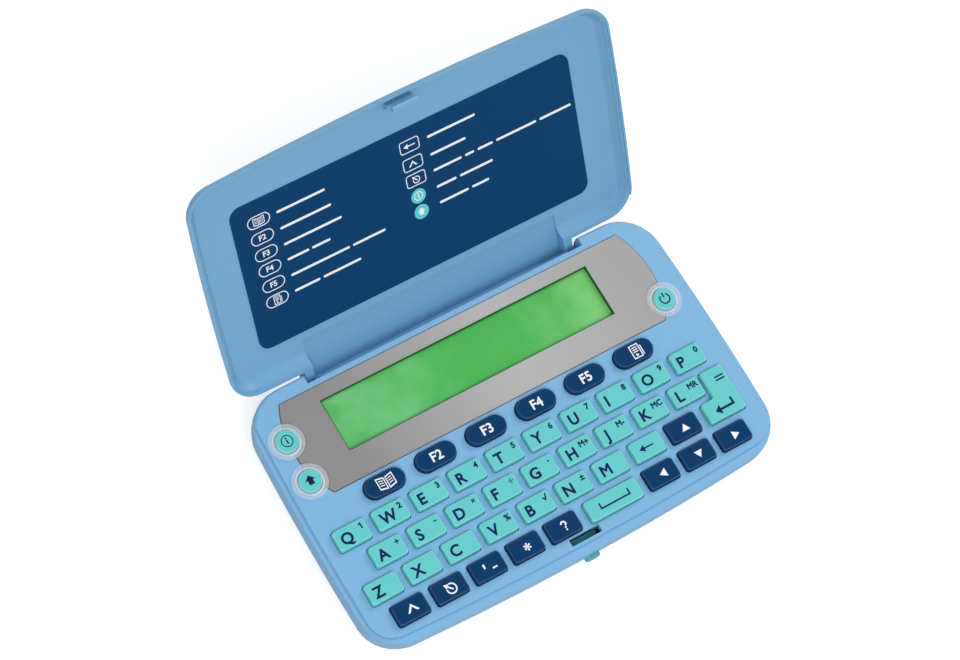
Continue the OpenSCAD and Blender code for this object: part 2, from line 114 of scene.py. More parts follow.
class Value:
    """A shader socket that adds its Math nodes when Python arithmetic is used on it."""

    def __init__(self, finish, socket):
        self.finish = finish
        self.socket = socket

    def math(self, operation, first, second):
        """One Math node on two values or numbers."""
        return self.finish.node("ShaderNodeMath", {"operation": operation}, {0: first, 1: second})

    def __add__(self, other):
        return self.math("ADD", self, other)

    def __sub__(self, other):
        return self.math("SUBTRACT", self, other)

    def __rsub__(self, other):
        return self.math("SUBTRACT", other, self)

    def __mul__(self, other):
        return self.math("MULTIPLY", self, other)

    def __truediv__(self, other):
        return self.math("DIVIDE", self, other)

    def clamp(self):
        """The value held between 0 and 1."""
        return self.math("MINIMUM", self.math("MAXIMUM", self, 0), 1)

    __radd__ = __add__
    __rmul__ = __mul__


class Finish:
    """A material in the making: its node tree, its shader and its pattern coordinates."""

    def __init__(self, name, shader):
        self.material = bpy.data.materials.new(name)
        self.material.use_nodes = True
        tree = self.material.node_tree
        self.nodes = tree.nodes
        self.links = tree.links
        self.shader = tree.nodes["Principled BSDF"]
        for socket, value in shader.items():
            self.shader.inputs[socket].default_value = value
        self.place = self.node("ShaderNodeTexCoord", output="Object")

    def feed(self, socket, item):
        """Links a value to a socket, or sets the socket to a plain number or colour."""
        if isinstance(item, Value):
            self.links.new(item.socket, socket)
        else:
            socket.default_value = item

    def node(self, kind, settings=None, sockets=None, output=0):
        """A node of one kind, with its settings and the values or links of its sockets."""
        node = self.nodes.new(kind)
        for name, setting in (settings or {}).items():
            setattr(node, name, setting)
        for name, item in (sockets or {}).items():
            self.feed(node.inputs[name], item)
        return Value(self, node.outputs[output])

    def noise(self, size, detail=2, roughness=0.5):
        """Smooth noise whose patches are about size metres across, from 0 to 1."""
        return self.node("ShaderNodeTexNoise", None, {"Vector": self.place, "Scale": 1 / size,
                                                      "Detail": detail, "Roughness": roughness})

    def axis(self, name):
        """The distance along one axis of the object, in metres."""
        return self.node("ShaderNodeSeparateXYZ", None, {"Vector": self.place}, name)

    def blend(self, factor, first, second):
        """The mix of two colours, first where factor is 0."""
        return self.node("ShaderNodeMix", {"data_type": "RGBA"}, {0: factor, 6: first, 7: second}, 2)

    def painted_edge_shading(self):
        """A patchy mask from 0 to 1 where the surface rolls over from a flat top to a wall, for painted
        edge highlight and shade.
        """
        facing = self.node("ShaderNodeTexCoord", output="Normal")
        up = self.node("ShaderNodeSeparateXYZ", None, {"Vector": facing}, "Z")
        edge_band = ((up - 0.25) * 4).clamp() * ((0.97 - up) * 6).clamp()
        return edge_band * (self.noise(0.0015) * 0.5 + 0.45)

    def set(self, socket, item):
        """Feeds one socket of the shader."""
        self.feed(self.shader.inputs[socket], item)

    def bump(self, height, depth):
        """Raises the surface by depth metres where height is 1."""
        self.set("Normal", self.node("ShaderNodeBump", None, {"Height": height, "Distance": depth}))


def moulded_plastic(name, colour, shade, gloss=0.35, roughness=0.38, grain=0.00035, rim=None):
    """Moulded plastic: faint clouding in its colour, a fine grain, and handled patches that shine.

    A rim colour is a painted highlight where the surface rolls over from a flat top to a wall.
    """
    finish = Finish(name, {"IOR": 1.48, "Specular IOR Level": gloss})
    cloud = finish.noise(0.03, detail=3)
    tone = finish.blend(cloud, colour, shade)
    # Painted highlight: the rim colour laid over the rounded edges.
    if rim:
        tone = finish.blend(finish.painted_edge_shading(), tone, rim)
    finish.set("Base Color", tone)
    rub = finish.noise(0.012, detail=4, roughness=0.6)
    finish.set("Roughness", rub * 0.12 + (roughness - 0.06))
    finish.bump(finish.noise(grain, detail=1), 0.000006)
    return finish.material


def silver_paint():
    """Satin silver paint: fine flakes, a painted highlight that makes it lightest in the middle, and
    painted brown shade along its rounded edges.
    """
    finish = Finish("silver_paint", {"Metallic": 0.12, "IOR": 1.5, "Specular IOR Level": 0.3})
    flakes = finish.noise(0.00018, detail=1)
    # Painted highlight: a broad band across the bezel, lightest in the middle.
    across = finish.axis("X")
    painted_highlight_rise = ((across + 0.042) / 0.05).clamp()
    painted_highlight_fall = ((across - 0.012) / 0.04).clamp()
    tone = finish.blend(painted_highlight_rise, srgb(134, 134, 134), srgb(178, 178, 177))
    tone = finish.blend(painted_highlight_fall, tone, srgb(158, 158, 158))
    tone = finish.blend(flakes * 0.12, tone, srgb(214, 212, 210))
    # Painted shade: brown lines along the rounded edges.
    finish.set("Base Color", finish.blend(finish.painted_edge_shading(), tone, srgb(120, 92, 78)))
    finish.set("Roughness", finish.noise(0.04) * 0.1 + 0.36)
    finish.bump(flakes, 0.000003)
    return finish.material


def clear_plastic():
    """The clear plastic of the collars, through which the case shows."""
    finish = Finish("collar_plastic", {"IOR": 1.49, "Alpha": 0.2, "Specular IOR Level": 0.5})
    cloud = finish.noise(0.004, detail=2)
    finish.set("Base Color", finish.blend(cloud, srgb(250, 251, 255), srgb(240, 246, 253)))
    finish.set("Roughness", cloud * 0.06 + 0.2)
    return finish.material


def lcd_green():
    """The unlit green panel, clouded where its backlight spreads unevenly."""
    finish = Finish("lcd_green", {"IOR": 1.5, "Roughness": 0.24, "Specular IOR Level": 0.15})
    broad = finish.noise(0.024, detail=2, roughness=0.5)
    fine = finish.noise(0.008, detail=3, roughness=0.55)
    across = finish.axis("X")
    left = ((-0.012 - across) / 0.03).clamp()
    right = ((across - 0.012) / 0.03).clamp()
    base = finish.blend(left, srgb(84, 187, 98), srgb(124, 203, 140))
    base = finish.blend(right, base, srgb(126, 204, 114))
    base = finish.blend(0.12, base, srgb(150, 212, 150))
    cloud = ((broad * 0.65 + fine * 0.35 - 0.5) * 5 + 0.45).clamp()
    finish.set("Base Color", finish.blend(cloud * 0.75, base, srgb(72, 176, 78)))
    return finish.material


def printed_film():
    """The navy label: flat ink under a thin satin film."""
    finish = Finish("label_film", {"IOR": 1.46, "Specular IOR Level": 0.05})
    cloud = finish.noise(0.02, detail=2)
    finish.set("Base Color", finish.blend(cloud, srgb(14, 66, 109), srgb(12, 62, 105)))
    finish.set("Roughness", cloud * 0.08 + 0.46)
    finish.bump(finish.noise(0.0005, detail=1), 0.000002)
    return finish.material


def printed_ink(name, colour, thin):
    """Pad-printed ink, a little uneven where it lies thin."""
    finish = Finish(name, {"IOR": 1.45, "Specular IOR Level": 0.15})
    patches = finish.noise(0.0006, detail=2)
    finish.set("Base Color", finish.blend(patches * 0.5, colour, thin))
    finish.set("Roughness", patches * 0.1 + 0.45)
    return finish.material


def silicone():
    """Milky rubber of the key mat, dusty to the touch."""
    finish = Finish("mat_silicone", {"IOR": 1.42})
    dust = finish.noise(0.001, detail=3)
    finish.set("Base Color", finish.blend(dust, srgb(205, 204, 198), srgb(188, 187, 180)))
    finish.set("Roughness", dust * 0.15 + 0.6)
    return finish.material


def solder_mask():
    """Green lacquer over the glass weave of the circuit board."""
    finish = Finish("board_lacquer", {"IOR": 1.5})
    weave = finish.noise(0.0008, detail=2)
    finish.set("Base Color", finish.blend(weave, srgb(28, 96, 58), srgb(22, 82, 50)))
    finish.set("Roughness", weave * 0.1 + 0.3)
    finish.bump(weave, 0.00001)
    return finish.material


def plated_steel(name, tone, roughness):
    """Plated steel with faint smears where fingers touched it."""
    finish = Finish(name, {"Metallic": 1})
    smear = finish.noise(0.002, detail=3)
    finish.set("Base Color", finish.blend(smear, srgb(*tone), srgb(*(part - 18 for part in tone))))
    finish.set("Roughness", smear * 0.15 + roughness)
    return finish.material


FINISHES = {
    "case": moulded_plastic("case_blue", srgb(127, 181, 220), srgb(123, 177, 217)),
    # The lid's blue is a darker copy of the case's blue: painted shade for the open lid's tilted face.
    "lid": moulded_plastic("lid_blue", srgb(119, 172, 209), srgb(115, 168, 205)),
    # Each key finish's last colour is a painted highlight on the keys' rounded rims.
    "key_teal": moulded_plastic("key_teal", srgb(101, 201, 200), srgb(96, 197, 196), 0.3, 0.42, 0.00022,
                                srgb(160, 232, 226)),
    "key_navy": moulded_plastic("key_navy", srgb(8, 60, 103), srgb(7, 56, 98), 0.07, 0.36, 0.00022,
                                srgb(74, 92, 132)),
    "latch": moulded_plastic("latch_teal", srgb(86, 180, 184), srgb(80, 172, 178), 0.3, 0.42, 0.00022),
    # A dark green for the display window's walls: painted shade and painted reflection of the panel.
    "shade_liner": moulded_plastic("painted_shade_green", srgb(30, 104, 50), srgb(24, 92, 44), 0.2, 0.3),
    "milky": moulded_plastic("collar_milk", srgb(196, 214, 234), srgb(186, 206, 228)),
    "silver": silver_paint(),
    "collar": clear_plastic(),
    "lcd": lcd_green(),
    "film": printed_film(),
    "navy_ink": printed_ink("navy_ink", srgb(14, 26, 84), srgb(20, 34, 92)),
    "white_ink": printed_ink("white_ink", srgb(244, 245, 250), srgb(226, 230, 240)),
    "teal_ink": printed_ink("teal_ink", srgb(98, 205, 205), srgb(92, 196, 198)),
    "silicone": silicone(),
    "board": solder_mask(),
    "zinc": plated_steel("screw_zinc", (190, 190, 188), 0.3),
    "nickel": plated_steel("cell_nickel", (205, 203, 198), 0.22),
}


def select_only(piece):
    """Selects one piece and makes it the active one."""
    bpy.ops.object.select_all(action="DESELECT")
    piece.select_set(True)
    bpy.context.view_layer.objects.active = piece


def dress(piece, finish):
    """Gives every face of a piece one finish."""
    piece.data.materials.clear()
    piece.data.materials.append(FINISHES[finish])


def place(piece, body, slot, *nodes):
    """Rides a finished piece on its body, standing for the nodes that it replaces."""
    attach(piece, body)
    if nodes:
        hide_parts(*nodes)


def apply_modifier(piece, kind, **settings):
    """Runs one modifier on a piece and keeps its result."""
    modifier = piece.modifiers.new(kind.lower(), kind)
    for name, setting in settings.items():
        setattr(modifier, name, setting)
    select_only(piece)
    bpy.ops.object.modifier_apply(modifier=modifier.name)


def shade(piece):
    """Shades a piece smooth up to its sharp edges, with its flat faces kept flat."""
    select_only(piece)
    bpy.ops.object.shade_smooth_by_angle(angle=math.radians(40))
    apply_modifier(piece, "WEIGHTED_NORMAL", keep_sharp=True)


def choose(piece, kind, test):
    """In edit mode, selects only the edges or faces for which the test is true."""
    bpy.ops.mesh.select_mode(type=kind)
    bpy.ops.mesh.select_all(action="DESELECT")
    shape = bmesh.from_edit_mesh(piece.data)
    for item in shape.faces if kind == "FACE" else shape.edges:
        if test(item):
            item.select_set(True)
    bmesh.update_edit_mesh(piece.data)


def plate(width, depth):
    """A flat rectangle in millimetres about the origin, left in edit mode with all of it selected."""
    bpy.ops.object.select_all(action="DESELECT")
    bpy.ops.mesh.primitive_plane_add(size=1)
    piece = bpy.context.object
    bpy.ops.object.mode_set(mode="EDIT")
    bpy.ops.transform.resize(value=(width * MM, depth * MM, 1))
    return piece


def extrude_up(height):
    """In edit mode, extrudes what is selected by a height in metres."""
    bpy.ops.mesh.extrude_region_move(TRANSFORM_OT_translate={"value": (0, 0, height)})


def face_outwards():
    """In edit mode, selects the whole mesh and turns every face outwards."""
    bpy.ops.mesh.select_all(action="SELECT")
    bpy.ops.mesh.normals_make_consistent(inside=False)


def refined_copy(node, name, edge):
    """A copy of a CAD solid with its triangles merged and its sharp edges rounded."""
    piece = NODES[node].copy()
    piece.data = piece.data.copy()
    piece.name = name
    bpy.context.scene.collection.objects.link(piece)
    piece.parent = None
    del piece["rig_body"]
    del piece["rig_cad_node"]
    select_only(piece)
    bpy.ops.object.mode_set(mode="EDIT")
    bpy.ops.mesh.select_all(action="SELECT")
    bpy.ops.mesh.remove_doubles(threshold=WELD)
    bpy.ops.mesh.dissolve_limited(angle_limit=math.radians(0.4))
    bpy.ops.object.mode_set(mode="OBJECT")
    apply_modifier(piece, "BEVEL", width=edge, segments=2, limit_method="ANGLE",
                   angle_limit=math.radians(30), use_clamp_overlap=True)
    shade(piece)
    return piece


def moved_copy(master, name, shift):
    """A copy of a finished piece with its own mesh, moved by shift metres in that mesh."""
    piece = master.copy()
    piece.data = master.data.copy()
    piece.name = name
    piece.data.transform(Matrix.Translation(shift))
    bpy.context.scene.collection.objects.link(piece)
    return piece


def key_cap(width, depth, corner, lip, foot=None):
    """A key cap in millimetres about the middle of its outline, its flange's top at height 0.

    A foot is the width and depth of a wider part at the front, which grows to the left.
    """
    height = KEY_RISE * MM
    width += 2 * FOOT_GROWTH
    depth += 2 * FOOT_GROWTH
    cap = plate(width, depth)
    if foot:
        line = (foot[1] + 2 * FOOT_GROWTH - depth / 2) * MM
        bpy.ops.mesh.bisect(plane_co=(0, line, 0), plane_no=(0, 1, 0))
        choose(cap, "EDGE", lambda edge: all(
            end.co.x < -0.49 * width * MM and end.co.y < line + 0.01 * MM for end in edge.verts))
        bpy.ops.mesh.extrude_edges_move(
            TRANSFORM_OT_translate={"value": ((width - 2 * FOOT_GROWTH - foot[0]) * MM, 0, 0)})
        bpy.ops.mesh.select_all(action="SELECT")
        bpy.ops.mesh.dissolve_limited(angle_limit=math.radians(1))
    bpy.ops.mesh.select_all(action="SELECT")
    bpy.ops.mesh.bevel(offset=corner * MM, segments=8, affect="VERTICES")
    bpy.ops.mesh.select_all(action="SELECT")
    bpy.ops.mesh.remove_doubles(threshold=WELD)
    # The wall stands straight for a little over half its height and draws in above.
    extrude_up(0.55 * height)
    extrude_up(0.45 * height)
    bpy.ops.transform.resize(value=(1 - 2 * TOP_DRAFT / width, 1 - 2 * TOP_DRAFT / depth, 1))
    face_outwards()
    choose(cap, "EDGE", lambda edge: all(end.co.z > 0.9 * height for end in edge.verts))
    bpy.ops.mesh.bevel(offset=KEY_RIM * MM, segments=2, affect="EDGES")
    choose(cap, "FACE", lambda face: face.normal.z < -0.9)
    extrude_up(-FLANGE_THICK * MM)
    choose(cap, "FACE", lambda face: abs(face.normal.z) < 0.1 and face.calc_center_median().z < 0)
    bpy.ops.mesh.extrude_region_shrink_fatten(
        TRANSFORM_OT_shrink_fatten={"value": lip * MM, "use_even_offset": True})
    bpy.ops.mesh.select_all(action="SELECT")
    bpy.ops.mesh.remove_doubles(threshold=WELD / 2)
    face_outwards()
    bpy.ops.object.mode_set(mode="OBJECT")
    shade(cap)
    return cap


def letters(words, height, x, y, middle=False, bold=0.04):
    """Flat letters, in millimetres: left end and foot at x, y, or the middle of their box there.

    Their strokes grow by bold on each side.
    """
    bpy.ops.object.select_all(action="DESELECT")
    bpy.ops.object.text_add()
    piece = bpy.context.object
    text = piece.data
    text.body = words
    text.size = height / CAPITAL_HEIGHT
    text.resolution_u = 4
    text.extrude = INK
    text.bevel_depth = bold
    text.bevel_resolution = 0
    bpy.ops.object.convert(target="MESH")
    piece = bpy.context.object
    spots = [vertex.co for vertex in piece.data.vertices]
    left = min(spot.x for spot in spots)
    right = max(spot.x for spot in spots)
    low = min(spot.y for spot in spots)
    high = max(spot.y for spot in spots)
    if middle:
        shift = Vector((x - (left + right) / 2, y - (low + high) / 2, 0))
    else:
        shift = Vector((x - left, y, 0))
    piece.data.transform(Matrix.Translation(shift) @ Matrix.Scale(INK / (INK + bold), 4, (0, 0, 1)))
    return piece


def cut_out(*outlines):
    """A flat mark filled inside its outlines, given in millimetres; an outline within one is a hole."""
    curve = bpy.data.curves.new("mark", "CURVE")
    curve.dimensions = "2D"
    curve.fill_mode = "BOTH"
    curve.extrude = INK
    for outline in outlines:
        spline = curve.splines.new("POLY")
        spline.points.add(len(outline) - 1)
        for point, (x, y) in zip(spline.points, outline):
            point.co = (x, y, 0, 1)
        spline.use_cyclic_u = True
    piece = bpy.data.objects.new("mark", curve)
    bpy.context.scene.collection.objects.link(piece)
    select_only(piece)
    bpy.ops.object.convert(target="MESH")
    return bpy.context.object


def moved(outline, x, y, size=1.0, turn=0.0):
    """An outline turned by some degrees, scaled and then moved."""
    cosine = math.cos(math.radians(turn))
    sine = math.sin(math.radians(turn))
    return [(x + size * (cosine * across - sine * up), y + size * (sine * across + cosine * up))
            for across, up in outline]


def bar(left, low, right, high):
    """The outline of a rectangle between two corners."""
    return [(left, low), (right, low), (right, high), (left, high)]


def arc(radius, start, end, steps=28):
    """Points along an arc about the origin, between two angles in degrees."""
    return [(radius * math.cos(math.radians(start + (end - start) * step / steps)),
             radius * math.sin(math.radians(start + (end - start) * step / steps)))
            for step in range(steps + 1)]


def circle(radius):
    """The outline of a circle about the origin."""
    return arc(radius, 0, 348, 29)


def band(outer, inner, start, end):
    """Part of a ring, between two angles in degrees."""
    return arc(outer, start, end) + arc(inner, end, start)


def pill(width, depth, corner):
    """A rectangle with round corners, about its middle."""
    outline = []
    for side, front, start in ((1, 1, 0), (-1, 1, 90), (-1, -1, 180), (1, -1, 270)):
        outline += moved(arc(corner, start, start + 90, 6), side * (width / 2 - corner),
                         front * (depth / 2 - corner))
    return outline


# Outlines of signs, in millimetres about their middles.
TRIANGLE = [(-1.2, -0.95), (1.2, -0.95), (0, 1.05)]
BACK_ARROW = [(-2.6, 0), (-1, -1), (-1, -0.2), (1.7, -0.2), (1.7, 0.2), (-1, 0.2), (-1, 1)]
RETURN_ARROW = [(-2.6, 0), (-1.1, -1.15), (-1.1, -0.28), (2.6, -0.28), (2.6, 1.6), (2.04, 1.6),
                (2.04, 0.28), (-1.1, 0.28), (-1.1, 1.15)]
SPACE_MARK = [(-4.4, 0.9), (-4.4, -0.9), (4.8, -0.9), (4.8, 0.9), (4.35, 0.9), (4.35, -0.45),
              (-3.95, -0.45), (-3.95, 0.9)]
CARET = [(-1.6, -0.8), (-0.95, -0.8), (0, 0.45), (0.95, -0.8), (1.6, -0.8), (0, 1.25)]
OUTWARD_ARROW = [(-0.5, -0.2), (1.1, -0.2), (1.1, -0.75), (2.3, 0), (1.1, 0.75), (1.1, 0.2),
                 (-0.5, 0.2)]
HOUSE_ARROW = [(0, 1.45), (-1.45, 0.1), (-0.75, 0.1), (-0.75, -1.15), (0.75, -1.15), (0.75, 0.1),
               (1.45, 0.1)]
PAGE = [(-2.45, -1.45), (-0.16, -1.95), (-0.16, 1.4), (-2.45, 1.85)]
PAGE_INSIDE = [(-2.17, -1.12), (-0.42, -1.5), (-0.42, 1.08), (-2.17, 1.48)]
PAGE_LINES = [[(-1.9, level), (-0.68, level - 0.26), (-0.68, level - 0.02), (-1.9, level + 0.24)]
              for level in (0.75, 0.1, -0.55)]


def book_sign(x, y, size=1.0):
    """An open book: two pages with lines on them."""
    left = [PAGE, PAGE_INSIDE, *PAGE_LINES]
    right = [[(-across, up) for across, up in outline] for outline in left]
    return cut_out(*(moved(outline, x, y, size) for outline in left + right))


def page_sign(x, y, size=1.0):
    """A sheet of paper with lines on it and an arrow at its foot."""
    sheet = [bar(-1.6, -1.95, 1.2, 1.95), bar(-1.3, -1.65, 0.9, 1.65)]
    lines = [bar(-0.95, level, 0.55, level + 0.28) for level in (0.95, 0.35, -0.25)]
    arrow = [moved(TRIANGLE, -0.2, -1.05, 0.42, -90)]
    corner = [bar(1.45, -1.65, 1.75, 1.1)]
    return cut_out(*(moved(outline, x, y, size) for outline in sheet + lines + arrow + corner))


def escape_sign(x, y, size=1.0):
    """A ring broken at its upper left, with an arrow out through the gap."""
    ring = band(1.5, 1.12, 170, 460)
    return cut_out(moved(ring, x, y, size), moved(OUTWARD_ARROW, x, y, size, 135))


def info_sign(x, y, size=1.0):
    """A letter i in a ring."""
    stem = bar(-0.2, -0.85, 0.2, 0.35)
    dot = moved(circle(0.24), 0, 0.78)
    outlines = (circle(1.65), circle(1.38), stem, dot)
    return cut_out(*(moved(outline, x, y, size) for outline in outlines))


def power_sign(x, y):
    """A ring open at its top, with a bar in the gap."""
    return cut_out(moved(band(1.55, 1.17, 125, 415), x, y), moved(bar(-0.2, 0.3, 0.2, 1.8), x, y))


def question_sign(x, y):
    """A question mark: a hook with a stem, over a dot."""
    hook = moved(arc(0.85, 175, -60) + arc(0.42, -60, 175), 0, 0.55)
    stem = bar(-0.05, -0.65, 0.38, -0.22)
    dot = bar(-0.05, -1.35, 0.38, -0.92)
    return cut_out(*(moved(outline, x, y) for outline in (hook, stem, dot)))


def print_on(name, marks, ink, body, slot, where):
    """Joins flat marks, drawn in millimetres, into one print at its place on a body."""
    select_only(marks[0])
    for mark in marks:
        mark.select_set(True)
    if len(marks) > 1:
        bpy.ops.object.join()
    piece = marks[0]
    piece.name = name
    piece.data.transform(where @ Matrix.Scale(MM, 4))
    dress(piece, ink)
    place(piece, body, slot)


# Each shell's CAD node, its name, body, slot and finish, and its edges' rounding in millimetres.
SHELLS = [
    ("upper_case", "deck_shell", "base", "case_blue", "case", 0.12),
    ("lower_case", "tub_shell", "base", "case_blue", "case", 0.12),
    ("display_bezel", "silver_bezel", "base", "bezel_silver", "silver", 0.16),
    ("battery_door", "cell_door", "base", "case_blue", "case", 0.1),
    ("lid", "lid_shell", "lid", "lid_blue", "lid", 0.12),
    ("latch_button", "latch_pill", "latch", "latch_teal", "latch", 0.12),
    ("button_info", "info_disc", "button_info_body", "key_teal", "key_teal", 0.15),
    ("button_shift", "shift_disc", "button_shift_body", "key_teal", "key_teal", 0.15),
    ("button_power", "power_disc", "button_power_body", "key_teal", "key_teal", 0.15),
]

for node, name, body, slot, finish, edge in SHELLS:
    shell = refined_copy(node, name, edge * MM)
    dress(shell, finish)
    place(shell, body, slot, node)

PLAIN = {"lcd_panel": "lcd", "keypad_mat": "silicone", "circuit_board": "board",
         "coin_cells": "nickel", "screws": "zinc", "lid_label": "film"}
for node, finish in PLAIN.items():
    dress(NODES[node], finish)


def outline_middle(node, height):
    """The middle of a node's outline, at a height in metres."""
    low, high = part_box(node)
    return Vector(((low[0] + high[0]) / 2, (low[1] + high[1]) / 2, height))


def key_middle(node):
    """The middle of a key's outline, at the height of its flange's top."""
    low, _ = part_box(node)
    return outline_middle(node, low[2] + FLANGE_THICK * MM)


NAVY_SQUARE = ["key_up", "key_ctrl", "key_escape", "key_apostrophe", "key_star", "key_question",
               "key_left", "key_down", "key_right"]
LETTER_KEYS = [f"key_{letter}" for letter in KEY_LETTERS] + ["key_back"]
OVAL_KEYS = [f"key_f{number}" for number in range(1, 7)]
ENTER_MIDDLE = Vector((53.75, -17.13, 10.15)) * MM

# Each cap's width, depth, corner and flange in millimetres, then its colour and its keys.
CAPS = [
    (key_cap(9.3, 5.7, KEY_CORNER, FLANGE_LIP), "key_teal", LETTER_KEYS),
    (key_cap(9.3, 5.7, KEY_CORNER, FLANGE_LIP), "key_navy", NAVY_SQUARE),
    (key_cap(11.6, 5.6, 2.91, FLANGE_LIP), "key_navy", OVAL_KEYS),
    (key_cap(16.1, 5.7, KEY_CORNER, FLANGE_LIP), "key_teal", ["key_space"]),
    (key_cap(6.9, 13.46, KEY_CORNER, 0.2, foot=(11.3, 5.8)), "key_teal", ["key_enter"]),
]
for master, colour, nodes in CAPS:
    dress(master, colour)
    for node in nodes:
        middle = ENTER_MIDDLE if node == "key_enter" else key_middle(node)
        place(moved_copy(master, node + "_cap", middle), node + "_body", colour, node)
    bpy.data.objects.remove(master)

# The second signs of the letter keys.
CORNER_SIGNS = {"w": "2", "e": "3", "r": "4", "t": "5", "y": "6", "u": "7", "i": "8", "o": "9",
                "p": "0", "v": "%", "b": "√", "n": "±"}
DRAWN_SIGNS = {
    "q": [[(-0.05, -0.72), (0.27, -0.72), (0.27, 0.72), (0.03, 0.72), (-0.4, 0.4), (-0.4, 0.08),
           (-0.05, 0.3)]],
    "a": [[(-0.55, -0.13), (-0.13, -0.13), (-0.13, -0.55), (0.13, -0.55), (0.13, -0.13), (0.55, -0.13),
           (0.55, 0.13), (0.13, 0.13), (0.13, 0.55), (-0.13, 0.55), (-0.13, 0.13), (-0.55, 0.13)]],
    "s": [bar(-0.35, -0.14, 0.35, 0.14)],
    "f": [bar(-0.6, -0.11, 0.6, 0.11), moved(circle(0.17), 0, 0.45), moved(circle(0.17), 0, -0.45)],
    "g": [circle(0.22)],
}
DRAWN_SIGNS["d"] = [moved(DRAWN_SIGNS["a"][0], 0, 0, 1, 45)]
MEMORY_SIGNS = {"h": "M+", "j": "M-", "k": "MC", "l": "MR"}


def key_face(node):
    """The place of a print on a key or a button: its middle, on its top face."""
    _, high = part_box(node)
    return Matrix.Translation(outline_middle(node, high[2] + PRINT_LIFT * MM))


def print_key(node, marks, ink="navy_ink", slot="label_navy"):
    """Prints marks on the top face of a key."""
    print_on("legend_" + node[4:], marks, ink, node + "_body", slot, key_face(node))


# The letter stands at the lower left of its key, and its second sign at the upper right.
for letter in KEY_LETTERS:
    marks = [letters(letter.upper(), 2.85, -3.3, -1.72, bold=0.13)]
    if letter in DRAWN_SIGNS:
        marks.append(cut_out(*(moved(outline, 3, 1.05, 1.2) for outline in DRAWN_SIGNS[letter])))
    elif letter in "wertyuiop":
        marks.append(letters(CORNER_SIGNS[letter], 1.5, 3, 1.1, middle=True, bold=0.1))
    elif letter in CORNER_SIGNS:
        marks.append(letters(CORNER_SIGNS[letter], 1.6, 3.0, 1.05, middle=True, bold=0.085))
    elif letter in MEMORY_SIGNS:
        marks.append(letters(MEMORY_SIGNS[letter], 1.5, 2.4, 0.95, middle=True, bold=0.09))
    print_key(f"key_{letter}", marks)

print_key("key_back", [cut_out(BACK_ARROW)])
print_key("key_space", [cut_out(SPACE_MARK)])

# The enter key carries an arrow on its foot and an equals sign at its back.
enter_face = Matrix.Translation(ENTER_MIDDLE + Vector((0, 0, KEY_RISE + PRINT_LIFT)) * MM)
enter_marks = [cut_out(moved(RETURN_ARROW, -2.1, -4.3, 1.15)),
               cut_out(bar(-0.35, 2.75, 2.35, 3.18), bar(-0.35, 3.65, 2.35, 4.08))]
print_on("legend_enter", enter_marks, "navy_ink", "key_enter_body", "label_navy", enter_face)

WHITE_PRINTS = [
    ("key_up", [cut_out(moved(TRIANGLE, 0.2, -0.1))]),
    ("key_down", [cut_out(moved(TRIANGLE, 0.3, -0.2, 1, 180))]),
    ("key_left", [cut_out(moved(TRIANGLE, 0.3, -0.2, 1, 90))]),
    ("key_right", [cut_out(moved(TRIANGLE, 0.5, -0.2, 1, -90))]),
    ("key_ctrl", [cut_out(moved(CARET, 0.3, -0.1, 1.05))]),
    ("key_escape", [escape_sign(0.3, -0.35)]),
    ("key_apostrophe", [letters("'", 2.9, -1, 0.5, middle=True, bold=0.09),
                        cut_out(bar(0.9, -1, 2.3, -0.6))]),
    ("key_star", [letters("*", 3.1, 0.25, -0.2, middle=True, bold=0.09)]),
    ("key_question", [question_sign(0.2, 0)]),
    ("key_f1", [book_sign(0.3, 0)]),
    *((f"key_f{number}", [letters(f"F{number}", 2.5, 0.1, 0, middle=True, bold=0.085)])
      for number in range(2, 6)),
    ("key_f6", [page_sign(0.8, 0)]),
]
for node, marks in WHITE_PRINTS:
    print_key(node, marks, "white_ink", "bezel_silver")

BUTTON_PRINTS = [("info", info_sign(0, 0)), ("shift", cut_out(HOUSE_ARROW)),
                 ("power", power_sign(0, 0))]
for name, mark in BUTTON_PRINTS:
    print_on(f"{name}_sign", [mark], "navy_ink", f"button_{name}_body", "label_navy",
             key_face(f"button_{name}"))

# The label's face lies this far below the hinge axis, in millimetres, when the lid lies flat.
LABEL_DEPTH = 5.25
LABEL_FACE = (Matrix.Translation(HINGE) @ Matrix.Rotation(LID_SLOPE, 4, "X")
              @ Matrix.Translation((0, 0, (PRINT_LIFT - LABEL_DEPTH) * MM)))

# The label's rows, in millimetres: the height up the lid from the hinge axis, and the left and
# right ends of each word. The drawn keys of the left rows have their middles at LEFT_SIGNS.
LEFT_SIGNS = -42.85
LEFT_ROWS = [
    (50.96, [(-37.7, -23.7)]),
    (45.96, [(-37.7, -22.9)]),
    (41.06, [(-37.7, -20.8)]),
    (36.36, [(-37.7, -31.4), (-30.5, -25.1)]),
    (31.46, [(-37.7, -20.4), (-19.4, -9.7)]),
    (26.56, [(-37.7, -30.2), (-29.2, -18.0)]),
]
RIGHT_ROWS = [
    (51.76, [(6.8, 21.2)]),
    (46.36, [(6.8, 17.4)]),
    (41.46, [(6.8, 15.3), (16.4, 19.1), (20.2, 24.8), (25.9, 38.2), (39.3, 49.0)]),
    (36.36, [(6.8, 12.8), (13.9, 23.9)]),
    (31.46, [(6.8, 15.6), (16.7, 21.9)]),
]


def word_bars(rows):
    """Thin bars as long as the words that they stand for."""
    return [cut_out(moved(pill(right - left, 0.7, 0.34), (left + right) / 2, up))
            for up, words in rows for left, right in words]


